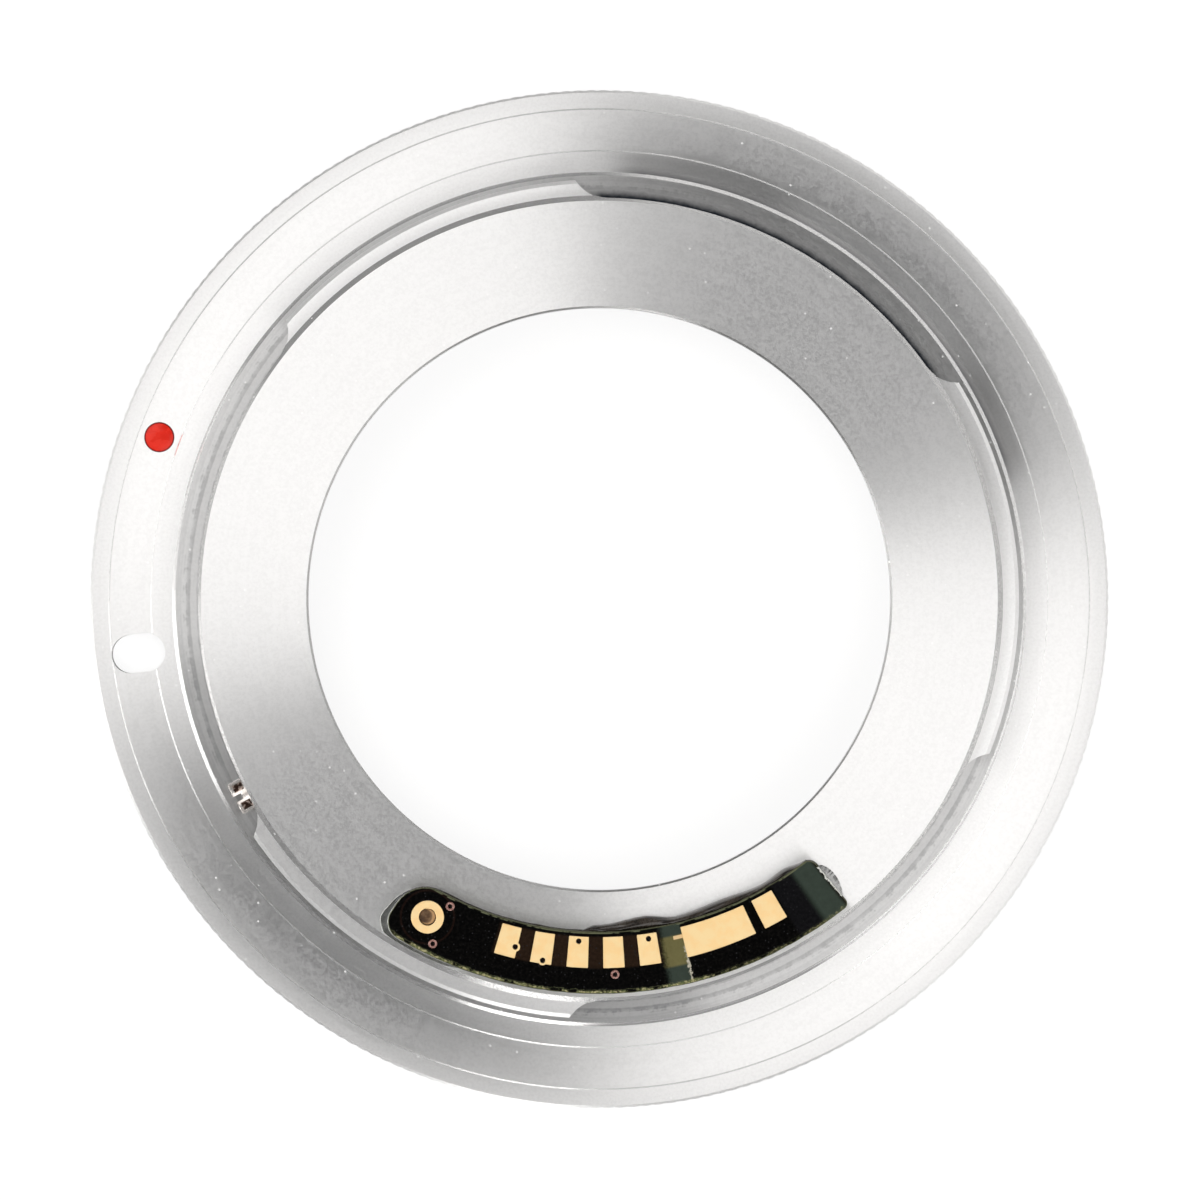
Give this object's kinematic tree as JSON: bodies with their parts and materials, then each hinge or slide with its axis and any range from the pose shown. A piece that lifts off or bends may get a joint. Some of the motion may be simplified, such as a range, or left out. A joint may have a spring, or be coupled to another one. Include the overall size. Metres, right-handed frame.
{
  "type": "lens mount adapter",
  "caption": "Thin flanged adapter ring with a female lens thread on one side and, on the other, a three-tab bayonet with a red index dot and a glued contact chip.",
  "frame": {"origin": "centre of the lens-side face, on the optical axis", "axes": "+Z along the optical axis towards the camera; +X and +Y in the ring's plane, with the contact chip at -Y and the index dot at -X, seen from the camera"},
  "size_m": [0.065, 0.065, 0.0077],
  "materials": {
    "turned_ring": "satin turned",
    "red_enamel": "glossy enamel",
    "screw_steel": "plain",
    "board_laminate": "black mask",
    "gold_plating": "gold plated",
    "chip_package": "moulded",
    "capacitor_body": "fired",
    "resistor_body": "glazed",
    "black_epoxy": "cured",
    "clear_glue": "clear"
  },
  "bodies": {
    "root": {"mount_ring": "turned_ring", "red_index_dot": "red_enamel", "stop_screw": "screw_steel", "chip_board": "board_laminate", "microcontroller": "chip_package", "bypass_capacitor": "capacitor_body", "pull_up_resistor_1": "resistor_body", "pull_up_resistor_2": "resistor_body", "pocket_potting": "black_epoxy", "epoxy_bed": "black_epoxy", "end_glue": "clear_glue", "contact_pad_1": "gold_plating", "contact_pad_2": "gold_plating", "contact_pad_3": "gold_plating", "contact_pad_4": "gold_plating", "contact_pad_5": "gold_plating", "contact_pad_wide": "gold_plating", "contact_pad_end": "gold_plating", "locating_ring": "gold_plating", "via_start_inner": "gold_plating", "via_start_outer": "gold_plating", "via_middle": "gold_plating"}
  },
  "joints": []
}
